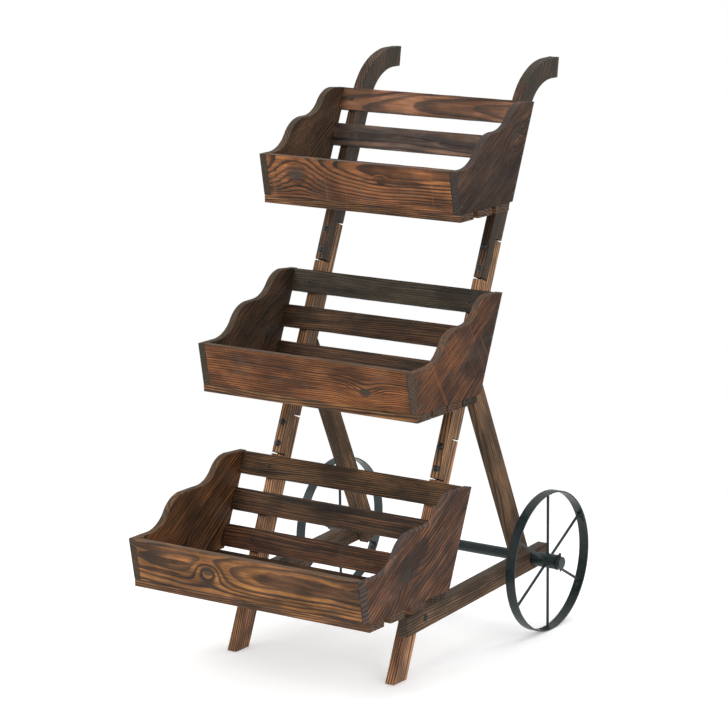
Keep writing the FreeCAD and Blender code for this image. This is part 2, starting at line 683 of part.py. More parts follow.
def nut(seat, way, bore):
    """A hexagonal nut that stands on seat and runs along way."""
    way = Vector(way).normalize()
    guide = Part.makeCylinder(size("nut_radius"), size("nut_high"), seat, way)
    frame = FreeCAD.Rotation(Vector(0, 0, 1), way)
    corners = []
    for order in range(7):
        angle = math.radians(order * 60.0)
        corners.append(seat + frame.multVec(Vector(math.cos(angle), math.sin(angle), 0)) * size("nut_radius"))
    prism = Part.Face(Part.makePolygon(corners)).extrude(way * size("nut_high"))
    return guide.common(prism).cut(Part.makeCylinder(bore, size("nut_high"), seat, way))


def washer(seat, way):
    way = Vector(way).normalize()
    disc = Part.makeCylinder(size("ring_radius"), size("ring_thick"), seat, way)
    return disc.cut(Part.makeCylinder(size("bolt_radius"), size("ring_thick"), seat, way))


def rail_point(x, along, back):
    """A point given up the rail and back from its front face."""
    sine, cosine = found("lean_sine"), found("lean_cosine")
    return Vector(x, found("shift") + along * sine + back * cosine, along * cosine - back * sine)


def rail_back():
    """The direction square to the rails' faces, to the rear."""
    return Vector(0, found("lean_cosine"), -found("lean_sine"))


def make_splice_fasteners():
    bolts, washers, nuts = [], [], []
    back, deep, thick = rail_back(), size("rail_deep"), size("ring_thick")
    for _, sign in SIDES:
        for lap in ("lower_lap", "upper_lap"):
            for spot in lap_bolts(lap):
                x, along = sign * found("rail_mid"), number(spot)
                front = rail_point(x, along, 0)
                rear = rail_point(x, along, deep)
                length = deep + 2 * thick + size("nut_high") + size("bolt_tail")
                bolts.append(rod_with_head(front - back * thick, back, length, size("bolt_radius"),
                                           size("bolt_head"), size("bolt_head_high")))
                washers += [washer(front - back * thick, back), washer(rear, back)]
                nuts.append(nut(rear + back * thick, back, size("bolt_radius")))
    group("splice_bolts", bolts)
    group("splice_washers", washers)
    group("splice_nuts", nuts)


def make_beam_bolts():
    solids = []
    y, z = number(f"worked.shift + {BEAM_BOLT_BACK}"), number(BEAM_BOLT_UP)
    thick = size("ring_thick")
    for _, sign in SIDES:
        way = Vector(-sign, 0, 0)
        outer = Vector(sign * found("beam_out"), y, z)
        inner = Vector(sign * found("rail_in"), y, z)
        length = found("beam_out") - found("rail_in") + 2 * thick + size("nut_high") + size("bolt_tail")
        solids += [rod_with_head(outer - way * thick, way, length, size("bolt_radius"),
                                 size("bolt_head"), size("bolt_head_high")),
                   washer(outer - way * thick, way), washer(inner, way),
                   nut(inner + way * thick, way, size("bolt_radius"))]
    group("beam_bolts", solids)


def wood_screw(start, way, length, head_high):
    return rod_with_head(start, way, length, size("screw_radius"), size("screw_head"), head_high)


def make_box_screws():
    """Screws through the top and bottom back slats of each box into the rails."""
    solids = []
    for tier in TIERS:
        for order in (0, len(BACK_SLATS) - 1):
            along = number(f"{back_slat_low(tier, order)} + sizes.slat_wide / 2")
            for _, sign in SIDES:
                start = rail_point(sign * found("rail_mid"), along, -size("slat_thick"))
                solids.append(wood_screw(start, rail_back(), size("screw_long"), size("screw_head_high")))
    group("box_screws", solids)


def make_leg_screws():
    """A sunk screw through each rail into the end of the leg behind it."""
    solids = []
    along = number("worked.leg_top / worked.lean_cosine + sizes.rail_deep * worked.lean_slope")
    sunk = size("screw_head_high")
    for _, sign in SIDES:
        start = rail_point(sign * found("rail_mid"), along, sunk)
        solids.append(wood_screw(start, rail_back(), size("rail_deep") + size("screw_long") - sunk, sunk))
    group("leg_screws", solids)


def box_point(tier, x, y, z):
    level = found(f"{tier}_level")
    return Vector(x, found("shift") + level * found("lean_slope") + y, level + z)


def make_panel_screws():
    """Two screws through each side panel into the end of the front board."""
    solids = []
    heights = (0.2, 0.8)
    for tier in TIERS:
        front = number(front_foot(tier))
        for share in heights:
            y = front - share * size("front_flare") + size("front_thick") / 2
            z = share * size("panel_front")
            for _, sign in SIDES:
                start = box_point(tier, sign * size(f"{tier}_wide") / 2, y, z)
                solids.append(wood_screw(start, Vector(-sign, 0, 0), size("screw_long"), size("panel_head_high")))
    group("panel_screws", solids)


def nail(start, way):
    return rod_with_head(start, way, size("nail_long"), size("nail_radius"),
                         size("nail_head"), size("nail_head_high"))


def make_nails():
    """Nails through the side panels into the back slats' ends, and up through the floor slats' ends."""
    solids = []
    shares = (0.25, 0.75)
    for tier in TIERS:
        outside = size(f"{tier}_wide") / 2
        reach = outside - size("panel_thick") / 2
        for _, sign in SIDES:
            for order, share in itertools.product(range(len(BACK_SLATS)), shares):
                along = number(f"{back_slat_low(tier, order)} + sizes.slat_wide * {share}")
                start = rail_point(sign * outside, along, -size("slat_thick") / 2)
                solids.append(nail(start, Vector(-sign, 0, 0)))
            for order in range(floor_count(tier)):
                y = number(f"{floor_slat_front(tier, order)} + sizes.floor_wide / 2")
                solids.append(nail(box_point(tier, sign * reach, y, -size("floor_thick")), Vector(0, 0, 1)))
    group("slat_nails", solids)


def make_cotter_pins():
    """Cotter pins down through the caps and the axle, with an eye above and one bent leg below."""
    solids = []
    radius, reach = size("pin_radius"), size("cap_radius")
    bend = math.radians(35.0)
    for _, sign in SIDES:
        centre = wheel_centre(sign)
        centre.x = sign * found("pin_place")
        top = centre + Vector(0, 0, reach)
        eye = Part.makeTorus(2 * radius, radius, top + Vector(0, 0, 3 * radius), Vector(1, 0, 0))
        straight = Part.makeCylinder(radius, 2 * (reach + radius), top + Vector(0, 0, radius), Vector(0, 0, -1))
        low = centre - Vector(0, 0, reach + radius)
        tail_long = size("pin_long") - 2 * (reach + radius)
        tail = Part.makeCylinder(radius, tail_long, low, Vector(0, math.sin(bend), -math.cos(bend)))
        knee = Part.makeSphere(radius, low)
        solids.append(straight.multiFuse([eye, knee, tail]))
    group("cotter_pins", solids)


# ---------------------------------------------------------------- the whole stand

for word, sign in SIDES:
    make_rail(word, sign)
    make_leg(word, sign)
    make_beam(word, sign)
drill_rail_feet()
for tier in TIERS:
    make_box(tier)
make_axle()
for word, sign in SIDES:
    make_wheel(word, sign)
    make_spokes(word, sign)
make_splice_fasteners()
make_beam_bolts()
make_box_screws()
make_leg_screws()
make_panel_screws()
make_nails()
make_cotter_pins()
doc.removeObject(bench.Name)

doc.recompute()
failed = [item.Label for item in doc.Objects if "Invalid" in item.State or "Error" in item.State]
if failed:
    raise RuntimeError("failed: " + ", ".join(failed))
for piece in nodes:
    if piece.Shape.isNull() or not piece.Shape.isValid():
        raise RuntimeError("bad shape: " + piece.Label)

os.makedirs("parts", exist_ok=True)
for piece in nodes:
    piece.Shape.exportStep(os.path.join("parts", piece.Label + ".step"))

whole = Part.makeCompound([piece.Shape for piece in nodes]).BoundBox
print(len(nodes), "nodes;", f"X {whole.XMin:.2f} {whole.XMax:.2f}  Y {whole.YMin:.2f} {whole.YMax:.2f}"
      f"  Z {whole.ZMin:.2f} {whole.ZMax:.2f}")
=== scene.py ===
import json
import math
import random

import bmesh
import bpy
from mathutils import Matrix, Vector, noise

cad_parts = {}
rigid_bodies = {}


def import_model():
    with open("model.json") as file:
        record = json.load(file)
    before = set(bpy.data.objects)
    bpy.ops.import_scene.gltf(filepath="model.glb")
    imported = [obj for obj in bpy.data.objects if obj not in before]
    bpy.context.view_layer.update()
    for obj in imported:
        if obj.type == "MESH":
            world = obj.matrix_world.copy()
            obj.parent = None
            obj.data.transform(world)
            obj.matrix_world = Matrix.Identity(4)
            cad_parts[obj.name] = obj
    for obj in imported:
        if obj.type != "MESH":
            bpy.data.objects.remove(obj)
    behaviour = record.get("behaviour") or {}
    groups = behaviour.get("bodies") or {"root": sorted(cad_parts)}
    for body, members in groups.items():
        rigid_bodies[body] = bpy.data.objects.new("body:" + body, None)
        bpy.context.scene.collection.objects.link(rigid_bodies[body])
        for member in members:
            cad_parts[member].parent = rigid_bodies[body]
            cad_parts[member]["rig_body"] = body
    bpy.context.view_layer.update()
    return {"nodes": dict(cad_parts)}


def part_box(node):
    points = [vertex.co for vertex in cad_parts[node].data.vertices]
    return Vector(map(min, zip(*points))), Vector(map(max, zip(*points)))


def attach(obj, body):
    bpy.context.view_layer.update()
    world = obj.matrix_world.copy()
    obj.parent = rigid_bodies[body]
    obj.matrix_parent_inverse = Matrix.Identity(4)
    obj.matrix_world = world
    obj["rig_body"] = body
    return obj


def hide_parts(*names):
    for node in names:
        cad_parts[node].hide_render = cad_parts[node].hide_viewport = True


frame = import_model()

# Three-tier flower cart stand, dressed. Metres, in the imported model's own frame: +X the stand's
# right, +Y its rear, +Z up. The iron pieces keep their meshes and get new materials. Each wooden
# piece is replaced by a weathered copy of itself, from which wood is only taken away.

NODES = frame["nodes"]

LEAN = math.radians(23.0)            # of the rails from upright
LEG_LEAN = math.radians(24.43)       # of the rear legs from upright, the other way
BEAM_SLOPE = math.radians(3.12)
FRONT_FLARE = math.radians(9.87)     # of the front boards from upright
SCROLL_SLOPE = math.radians(31.0)    # of the side panels' grain from level

RIGHT = (1.0, 0.0, 0.0)
UP = (0.0, 0.0, 1.0)
RAIL_ALONG = (0.0, math.sin(LEAN), math.cos(LEAN))
RAIL_FRONT = (0.0, -math.cos(LEAN), math.sin(LEAN))
LEG_ALONG = (0.0, -math.sin(LEG_LEAN), math.cos(LEG_LEAN))
BEAM_ALONG = (0.0, math.cos(BEAM_SLOPE), math.sin(BEAM_SLOPE))
FRONT_OUT = (0.0, -math.cos(FRONT_FLARE), -math.sin(FRONT_FLARE))
PANEL_ALONG = (0.0, math.cos(SCROLL_SLOPE), math.sin(SCROLL_SLOPE))

# Colours of the wood and the metal, linear
CHAR = (0.017, 0.0105, 0.0080)
BROWN = (0.090, 0.040, 0.017)
TAN = (0.310, 0.138, 0.048)
AMBER = (0.375, 0.165, 0.050)
RUSSET = (0.140, 0.044, 0.016)
GREY = (0.110, 0.084, 0.062)
OLIVE = (0.052, 0.045, 0.029)
PINK = (0.225, 0.100, 0.055)
KNOT = (0.040, 0.034, 0.026)
SHADED = (0.040, 0.035, 0.026)
IRON = (0.0085, 0.0165, 0.0175)
IRON_WORN = (0.026, 0.040, 0.042)
TUBE_IRON = (0.0095, 0.021, 0.022)
STEEL = (0.007, 0.008, 0.009)
STEEL_WORN = (0.05, 0.055, 0.055)
DULL_STEEL = (0.05, 0.045, 0.040)
DULL_WORN = (0.14, 0.13, 0.12)
WHITE = (1.0, 1.0, 1.0)


# ------------------------------------------------------------------ node building

class Graph:
    """A material's node tree, with short calls for the nodes used here."""

    def __init__(self, name):
        self.material = bpy.data.materials.new(name)
        self.material.use_nodes = True
        self.tree = self.material.node_tree
        self.tree.nodes.clear()

    def node(self, kind, **settings):
        made = self.tree.nodes.new(kind)
        for key, value in settings.items():
            setattr(made, key, value)
        return made

    def feed(self, socket, value):
        """Connect an output to a socket, or set the socket's own value."""
        if isinstance(value, bpy.types.NodeSocket):
            self.tree.links.new(value, socket)
        elif isinstance(value, tuple) and len(value) == 3 and socket.type == "RGBA":
            socket.default_value = (*value, 1.0)
        else:
            socket.default_value = value

    def math(self, operation, first, second=0.0, third=0.0):
        made = self.node("ShaderNodeMath", operation=operation)
        for socket, value in zip(made.inputs, (first, second, third)):
            self.feed(socket, value)
        return made.outputs[0]

    def vector(self, operation, first, second=(0.0, 0.0, 0.0)):
        made = self.node("ShaderNodeVectorMath", operation=operation)
        self.feed(made.inputs[0], first)
        self.feed(made.inputs[1], second)
        return made.outputs["Value" if operation in ("LENGTH", "DOT_PRODUCT") else 0]

    def combine(self, x, y, z):
        made = self.node("ShaderNodeCombineXYZ")
        for socket, value in zip(made.inputs, (x, y, z)):
            self.feed(socket, value)
        return made.outputs[0]

    def split(self, vector):
        made = self.node("ShaderNodeSeparateXYZ")
        self.feed(made.inputs[0], vector)
        return made.outputs

    def noise(self, vector, scale, detail, rough):
        made = self.node("ShaderNodeTexNoise")
        self.feed(made.inputs["Vector"], vector)
        made.inputs["Scale"].default_value = scale
        made.inputs["Detail"].default_value = detail
        made.inputs["Roughness"].default_value = rough
        return made.outputs["Fac"]

    def band(self, value, low, high, to_low=0.0, to_high=1.0, smooth=True):
        """Map a value from low..high to to_low..to_high, held at both ends."""
        kind = "SMOOTHSTEP" if smooth else "LINEAR"
        made = self.node("ShaderNodeMapRange", interpolation_type=kind)
        for socket, amount in zip(made.inputs, (value, low, high, to_low, to_high)):
            self.feed(socket, amount)
        return made.outputs[0]

    def mix(self, share, first, second, blend="MIX"):
        made = self.node("ShaderNodeMix", data_type="RGBA", blend_type=blend, clamp_factor=True)
        self.feed(made.inputs[0], share)
        self.feed(made.inputs[6], first)
        self.feed(made.inputs[7], second)
        return made.outputs[2]

    def bump(self, height, distance):
        made = self.node("ShaderNodeBump")
        self.feed(made.inputs["Height"], height)
        made.inputs["Distance"].default_value = distance
        made.inputs["Strength"].default_value = 1.0
        return made.outputs[0]

    def glow(self, strength):
        """A white light source of the given strength."""
        made = self.node("ShaderNodeEmission")
        self.feed(made.inputs["Color"], WHITE)
        made.inputs["Strength"].default_value = strength
        return made.outputs[0]

    def blend_shaders(self, share, first, second):
        made = self.node("ShaderNodeMixShader")
        for socket, value in zip(made.inputs, (share, first, second)):
            self.feed(socket, value)
        return made.outputs[0]

    def output(self, shader):
        made = self.node("ShaderNodeOutputMaterial")
        self.feed(made.inputs["Surface"], shader)
        return self.material

    def surface(self, colour, roughness, normal, **constants):
        shader = self.node("ShaderNodeBsdfPrincipled")
        self.feed(shader.inputs["Base Color"], colour)
        self.feed(shader.inputs["Roughness"], roughness)
        self.feed(shader.inputs["Normal"], normal)
        for name, value in constants.items():
            shader.inputs[name.replace("_", " ")].default_value = value
        return self.output(shader.outputs[0])


def centre(node):
    low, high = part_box(node)
    return (low + high) / 2


def axes(along, out):
    """The board's own axes: X along the grain, Y across the face, Z out of it."""
    x = Vector(along).normalized()
    z = Vector(out).normalized()
    z = (z - x * z.dot(x)).normalized()
    return x, z.cross(x), z


def facing(along, out):
    """Euler angles of the board's own frame, for a Mapping node."""
    return Matrix(axes(along, out)).transposed().to_euler("XYZ")


# ------------------------------------------------------------------ scorched wood

SEED_STEP = 0.731        # how far one board's pattern lies from the next one's

# Textures drawn out along the grain: (stretch, share of the board's shift, scale, detail, rough)
RIPPLE = (0.30, 1.0, 55.0, 2.0, 0.5)
SCORCH = (0.28, 1.7, 24.0, 2.0, 0.5)
FIBRE = (0.022, 1.0, 820.0, 3.0, 0.65)
STREAK = (0.05, 0.7, 230.0, 3.0, 0.6)
BLOTCH = (0.45, 2.1, 17.0, 3.0, 0.6)

SWAY = (5.0, 1.0, 0.4)           # the grain's slow bends: scale, detail, rough
SWAY_OFFSET = (3.1, 5.7, 1.3)    # keeps the bends out of the face apart from those across it
SWAY_SHARE = 5.0                 # of the board's wave
RIPPLE_SHARE = 0.45
KNOT_LENGTH = 0.62               # knots are drawn out along the grain by one over this
KNOT_REACH = 1.9                 # how far a knot bends the grain, in knot sizes
YEARS = (48.0, 1.0, 0.5)         # uneven years: scale, detail, rough
YEARS_SWING = 0.011              # metres
WOOD_IOR = 1.45
WOOD_SPECULAR = 0.30


def wood(name, at, along_way, out_way, palette, seed, ring=0.0050, pith=(0.020, -0.050),
         taper=(0.02, 0.03), dark=0.5, knots=(), stains=(), grey=0.30, wave=0.0040,
         relief=0.0013, saw=0.0, edge=0.60):
    """Brushed and scorched softwood. at is the board's middle, along_way the grain's direction and
    out_way the way its face looks: the board's own frame has X along the grain, Y across the face
    and Z out of it. ring is the spacing of the growth rings, pith the rings' centre line across and
    behind the board's middle and taper its slope along the board. dark is how much is burnt, grey
    how much is weathered, wave how far the grain bends and relief how high it stands. knots are
    (along, across, size, lift), stains (along, across, half length, half width, share), saw the
    strength of the saw marks across the grain and edge the greyness of the sawn edges."""
    g = Graph(name)
    places = g.node("ShaderNodeTexCoord")
    where, facing_way = places.outputs["Object"], places.outputs["Normal"]
    local = g.node("ShaderNodeMapping", vector_type="TEXTURE")
    g.feed(local.inputs["Vector"], where)
    local.inputs["Location"].default_value = at
    local.inputs["Rotation"].default_value = facing(along_way, out_way)
    along, across, out = g.split(local.outputs[0])
    shift = seed * SEED_STEP

    def drawn_out(stretch, share, scale, detail, rough):
        """A texture stretched along the grain."""
        place = g.combine(g.math("MULTIPLY_ADD", along, stretch, shift * share), across, out)
        return g.noise(place, scale, detail, rough)

    def centred(value):
        return g.math("SUBTRACT", value, 0.5)

    def scaled(value, by):
        return g.math("MULTIPLY", value, by)

    # slow bends of the grain, long in the board's direction
    slow = g.combine(g.math("MULTIPLY_ADD", along, 0.9, shift), scaled(across, 1.6),
                     scaled(out, 1.6))
    sway = centred(g.noise(slow, *SWAY))
    sway_out = centred(g.noise(g.vector("ADD", slow, SWAY_OFFSET), *SWAY))
    ripple = centred(drawn_out(*RIPPLE))
    side = g.math("SUBTRACT", across, g.math("MULTIPLY_ADD", along, taper[0], pith[0]))
    deep = g.math("SUBTRACT", out, g.math("MULTIPLY_ADD", along, taper[1], pith[1]))
    side = g.math("MULTIPLY_ADD", sway, wave * SWAY_SHARE, side)
    deep = g.math("MULTIPLY_ADD", sway_out, wave * SWAY_SHARE, deep)
    radius = g.vector("LENGTH", g.combine(side, deep, 0.0))
    radius = g.math("MULTIPLY_ADD", ripple, wave * RIPPLE_SHARE, radius)
    # knots lift the rings round them and have a dark core
    core = None
    for spot_along, spot_across, spot, lift in knots:
        step = g.combine(scaled(g.math("SUBTRACT", along, spot_along), KNOT_LENGTH),
                         g.math("SUBTRACT", across, spot_across), 0.0)
        near = g.math("MULTIPLY_ADD", ripple, spot * 0.7, g.vector("LENGTH", step))
        fall = g.math("POWER", g.math("DIVIDE", near, spot * KNOT_REACH), 2.0)
        swell = g.math("EXPONENT", scaled(fall, -1.0))
        radius = g.math("MULTIPLY_ADD", swell, lift, radius)
        eye = g.band(near, spot * 0.80, spot * 0.45)
        core = eye if core is None else g.math("MAXIMUM", core, eye)
    # uneven years: the spacing of the rings swells and shrinks
    years = centred(g.noise(g.combine(radius, shift, 0.0), *YEARS))
    phase = g.math("DIVIDE", g.math("MULTIPLY_ADD", years, YEARS_SWING, radius), ring)
    turn_of_ring = g.math("FRACT", phase)
    # each ring: pale early wood that darkens slowly into a hard dark late-wood line
    late = g.math("MULTIPLY", g.band(turn_of_ring, 0.35, 0.78), g.band(turn_of_ring, 1.0, 0.92))
    # how strong a ring is varies from ring to ring and along the board
    which = g.math("MULTIPLY_ADD", g.math("FLOOR", phase), 0.61, shift)
    ring_mood = g.noise(g.combine(which, scaled(along, 1.6), 0.0), 2.4, 1.0, 0.5)
    scorch = drawn_out(*SCORCH)
    burnt = g.band(g.math("ADD", scaled(ring_mood, 0.75), scaled(scorch, 0.5)),
                   0.84 - 0.40 * dark, 0.92 - 0.36 * dark)
    fibre = drawn_out(*FIBRE)
    streak = drawn_out(*STREAK)
    patch = g.noise(g.vector("ADD", where, (seed * 1.9, seed * 0.7, seed)), 8.0, 2.0, 0.5)

    # colours of the faces: early wood, late wood, scorching, then stains and uneven tone
    pale, middle, burn, aged = palette
    colour = g.mix(g.band(streak, 0.34, 0.66), middle, pale)
    colour = g.mix(g.band(patch, 0.36, 0.70, 0.0, 0.60), colour, middle)
    colour = g.mix(g.math("MULTIPLY", late, g.band(ring_mood, 0.30, 0.60, 0.70, 0.97)),
                   colour, burn)
    colour = g.mix(g.math("MULTIPLY", burnt, g.band(late, 0.0, 1.0, 0.55, 0.95)), colour, burn)
    stained = None
    for spot_along, spot_across, half_long, half_wide, share in stains:
        step = g.combine(g.math("DIVIDE", g.math("SUBTRACT", along, spot_along), half_long),
                         g.math("DIVIDE", g.math("SUBTRACT", across, spot_across), half_wide), 0.0)
        far = g.math("MULTIPLY_ADD", ripple, 0.9, g.vector("LENGTH", step))
        mark = g.band(g.math("MULTIPLY_ADD", sway, 1.2, far), 1.08, 0.86, 0.0, share)
        stained = mark if stained is None else g.math("MAXIMUM", stained, mark)
    if stained is not None:
        stain = g.mix(g.band(streak, 0.35, 0.75, 0.10, 0.60), burn, middle)
        colour = g.mix(stained, colour, stain)
    tone = g.band(drawn_out(*BLOTCH), 0.36, 0.64, 0.62, 1.42)
    colour = g.mix(1.0, colour, g.combine(tone, tone, tone), "MULTIPLY")
    weather = g.noise(g.vector("ADD", where, (seed, seed * 2.3, 4.0)), 20.0, 3.0, 0.6)
    colour = g.mix(g.band(weather, 0.52, 0.74, 0.0, grey), colour, aged)
    colour = g.mix(g.band(fibre, 0.54, 0.74, 0.0, 0.60), colour, burn)
    colour = g.mix(g.band(fibre, 0.42, 0.22, 0.0, 0.25), colour, pale)
    if core is not None:
        colour = g.mix(g.math("MULTIPLY", core, g.band(streak, 0.3, 0.7, 0.95, 0.70)),
                       colour, KNOT)
    if saw:
        strokes = g.noise(g.combine(along, scaled(across, 0.03), shift), 95.0, 1.0, 0.5)
        colour = g.mix(g.band(strokes, 0.60, 0.72, 0.0, saw), colour, pale)

    # the sawn edges and ends are greyer and darker than the faces; the rounded arrises are
    # lightened, a painted highlight that is partly rubbed wear
    look = g.math("ABSOLUTE", g.vector("DOT_PRODUCT", facing_way, out_way))
    end = g.math("ABSOLUTE", g.vector("DOT_PRODUCT", facing_way, along_way))
    edge_grey = g.band(streak, 0.25, 0.75, edge, edge * 0.6)
    colour = g.mix(g.math("MULTIPLY", g.band(look, 0.70, 0.35), edge_grey), colour, aged)
    colour = g.mix(g.band(end, 0.55, 0.85, 0.0, 0.60), colour, g.mix(late, aged, CHAR))
    # painted highlight, partly rubbed wear: the rounded arrises are mixed towards the aged colour
    # as if catching the light
    arris = g.math("MULTIPLY", g.band(look, 0.04, 0.22), g.band(look, 0.985, 0.88))
    colour = g.mix(g.math("MULTIPLY", arris, g.band(patch, 0.40, 0.62, 0.10, 0.60)), colour, aged)

    # the brushed relief: late wood, fibres and streaks stand proud
    rise = g.math("MULTIPLY", late, g.band(ring_mood, 0.25, 0.75, 0.55, 1.0))
    rise = g.math("MULTIPLY_ADD", fibre, 0.22, rise)
    rise = g.math("MULTIPLY_ADD", streak, 0.30, rise)
    if core is not None:
        rise = g.math("MULTIPLY_ADD", core, 0.4, rise)
    rough = g.math("MULTIPLY_ADD", late, -0.14,
                   g.band(fibre, 0.2, 0.8, 0.66, 0.82, smooth=False))
    return g.surface(colour, rough, g.bump(rise, relief), IOR=WOOD_IOR,
                     Specular_IOR_Level=WOOD_SPECULAR)


# ------------------------------------------------------------------ worn edges and furrowed ends

FLAT = 0.90                          # a face whose normal is this near to the board's own is plain
FACE = 0.97                          # and a corner whose normal is this near stays where it is
WELD = 1e-5                          # metres between corners that are one
LEVEL = math.radians(0.4)            # faces that differ by less become one
CREASE = math.radians(24.0)          # edges sharper than this stay sharp
FURROW_PITCH = 0.0022                # spacing of the cuts across the grain
WEAR_PITCH = 0.012                   # spacing of the cuts along it
CUT_GRIP = 1e-6
END_BIAS = 1.15                      # how soon a slanted end counts as an end
FLOOR_WEAR = (0.0042, 0.0008)        # furrow depth in the ends and wear of the edges, floor slats
BOARD_WEAR = (0.0012, 0.0007)        # and all other pieces


def cut_edges(shape, origin, way, out, pitch):
    """Cut the faces round a board's edges with parallel planes, square to one of its axes."""
    def span(corners):
        heights = [(corner.co - origin).dot(way) for corner in corners]
        return min(heights), max(heights)

    low, high = span(shape.verts)
    waiting = [(face, *span(face.verts)) for face in shape.faces
               if abs(face.normal.dot(out)) < FLAT]
    for step in range(1, int((high - low) / pitch)):
        height = low + step * pitch
        crossed = [face for face, bottom, top in waiting if bottom < height < top]
        waiting = [row for row in waiting if row[1] >= height]
        if not crossed:
            continue
        edges = dict.fromkeys(edge for face in crossed for edge in face.edges)
        corners = dict.fromkeys(corner for face in crossed for corner in face.verts)
        made = bmesh.ops.bisect_plane(shape, geom=[*crossed, *edges, *corners], dist=CUT_GRIP,
                                      plane_co=origin + way * height, plane_no=way)
        halves = [item for item in made["geom"] if isinstance(item, bmesh.types.BMFace)]
        rows = [(face, *span(face.verts)) for face in halves]
        waiting += [row for row in rows if row[2] > height + CUT_GRIP]


def wear_depth(place, end, wear, seed):
    """How much wood is gone at a place in the board's own frame; end is 1 on a sawn end."""
    along, across, out = place
    end_depth, edge_depth = wear
    furrow = 0.5 + 1.1 * noise.noise(Vector((across * 210.0, out * 45.0, seed)))
    furrow += 0.25 * noise.noise(Vector((across * 520.0, out * 90.0, seed + 5.0)))
    rub = 0.5 + 0.7 * noise.noise(Vector((along * 26.0, across * 40.0, seed + 9.0)))
    return max(end * end_depth * furrow + (1.0 - end) * edge_depth * rub, 0.0)


def weathered(node, along_way, out_way, seed, wear):
    """A board with real furrows brushed into its ends and uneven, worn edges, in place of the
    plain one. Wood is only taken away, so the board stays within its solid."""
    source = NODES[node]
    mesh = source.data.copy()
    shape = bmesh.new()
    shape.from_mesh(mesh)
    bmesh.ops.remove_doubles(shape, verts=shape.verts, dist=WELD)
    bmesh.ops.dissolve_limit(shape, angle_limit=LEVEL, verts=shape.verts, edges=shape.edges)
    board_axes = axes(along_way, out_way)
    grain, width, face_way = board_axes
    origin = centre(node)
    cut_edges(shape, origin, width, face_way, FURROW_PITCH)
    cut_edges(shape, origin, grain, face_way, WEAR_PITCH)
    shape.normal_update()
    moves = []
    for corner in shape.verts:
        normal = corner.normal
        plain = abs(normal.dot(face_way))
        if plain > FACE:
            continue
        place = [(corner.co - origin).dot(way) for way in board_axes]
        end = min(abs(normal.dot(grain)) * END_BIAS, 1.0) ** 2
        depth = wear_depth(place, end, wear, seed)
        moves.append((corner, normal * (-depth * (1.0 - plain ** 4))))
    for corner, move in moves:
        corner.co += move
    shape.to_mesh(mesh)
    shape.free()
    mesh.polygons.foreach_set("use_smooth", [True] * len(mesh.polygons))
    mesh.set_sharp_from_angle(angle=CREASE)
    board = bpy.data.objects.new(f"weathered_{node}", mesh)
    bpy.context.scene.collection.objects.link(board)
    level = board.modifiers.new("flat_faces", "WEIGHTED_NORMAL")
    level.keep_sharp = True
    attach(board, source["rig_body"])
    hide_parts(node)
    return board


# ------------------------------------------------------------------ each piece's own look

def tinted(palette, *scale):
    """A palette with its pale and middle colours scaled."""
    pale, middle, burn, aged = palette
    pale, middle = (tuple(part * by for part, by in zip(colour, scale))
                    for colour in (pale, middle))
    return pale, middle, burn, aged


# Palettes: pale early wood, middle, burnt, aged
WARM = (TAN, BROWN, CHAR, GREY)
GOLD = (AMBER, (0.175, 0.074, 0.027), (0.030, 0.017, 0.011), GREY)
RED = ((0.230, 0.078, 0.026), RUSSET, CHAR, GREY)
DIM = ((0.135, 0.060, 0.026), (0.055, 0.029, 0.014), (0.014, 0.0105, 0.0075), OLIVE)
MURK = ((0.078, 0.055, 0.031), (0.038, 0.029, 0.018), (0.013, 0.0115, 0.0085), OLIVE)
VIOLET = ((0.205, 0.096, 0.048), (0.080, 0.044, 0.029), (0.024, 0.017, 0.015),
          (0.100, 0.080, 0.072))
ROSE = (PINK, (0.120, 0.054, 0.028), (0.030, 0.016, 0.011), GREY)
RUST = ((0.330, 0.124, 0.034), (0.175, 0.058, 0.018), CHAR, GREY)
COPPER = ((0.290, 0.112, 0.038), (0.140, 0.052, 0.020), CHAR, GREY)
EMBER = ((0.260, 0.100, 0.038), (0.085, 0.038, 0.020), (0.022, 0.015, 0.014),
         (0.075, 0.062, 0.058))
SAWN = ((0.255, 0.092, 0.027), (0.066, 0.022, 0.008), CHAR, GREY)
DUSK = ((0.112, 0.051, 0.024), (0.034, 0.019, 0.012), (0.014, 0.010, 0.009),
        (0.050, 0.042, 0.037))
HONEY = ((0.300, 0.120, 0.036), (0.125, 0.054, 0.020), CHAR, OLIVE)
MOSS = ((0.150, 0.078, 0.038), (0.080, 0.042, 0.020), CHAR, OLIVE)
COCOA = ((0.125, 0.058, 0.023), (0.060, 0.030, 0.013), CHAR, GREY)
CHESTNUT = ((0.170, 0.066, 0.026), (0.075, 0.034, 0.016), CHAR, GREY)
FOOT = ((0.600, 0.310, 0.152), (0.390, 0.182, 0.090), CHAR, GREY)
RAIL = ((0.470, 0.250, 0.112), (0.220, 0.106, 0.050), CHAR, GREY)
# HANDLE's aged colour is SHADED, painted shade: it darkens the handle's sawn sides and arrises
HANDLE = ((0.165, 0.086, 0.047), (0.064, 0.036, 0.020), CHAR, SHADED)
BEAM = ((0.200, 0.116, 0.065), (0.096, 0.058, 0.034), CHAR, GREY)

FLOOR_SLATS = (("bottom", 4), ("middle", 4), ("top", 3))
FLOOR_SEED = 7

